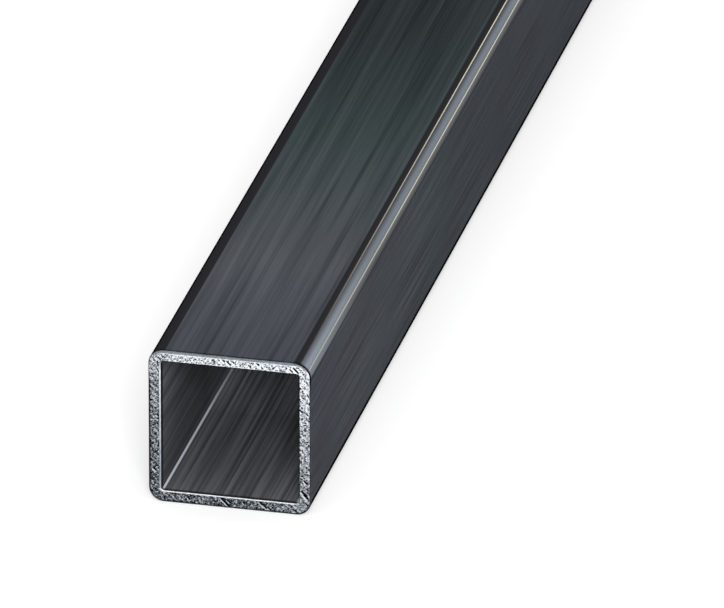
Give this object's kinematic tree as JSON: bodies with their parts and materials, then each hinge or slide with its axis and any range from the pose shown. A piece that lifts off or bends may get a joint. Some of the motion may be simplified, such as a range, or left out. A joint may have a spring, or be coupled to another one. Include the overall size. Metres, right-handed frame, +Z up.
{
  "type": "square metal tube",
  "caption": "Length of square steel tube with rounded corners, a dark bare mill finish and sawn, deburred open ends. Raw stock for frames, legs, rails and brackets.",
  "frame": {"origin": "on the underside, below the middle of the tube's length, on the centre line of the section", "axes": "+Y along the tube towards its far sawn end, +X to the right seen from the near end, +Z up from the floor that the tube lies on"},
  "size_m": [0.04, 1, 0.04],
  "materials": {
    "mill_steel": "Bare carbon steel, dark blue-grey as it left the forming rolls, with fine streaks along its length, burnished corners and bright sawn ends."
  },
  "bodies": {
    "root": {"square_tube": "mill_steel"}
  },
  "joints": []
}
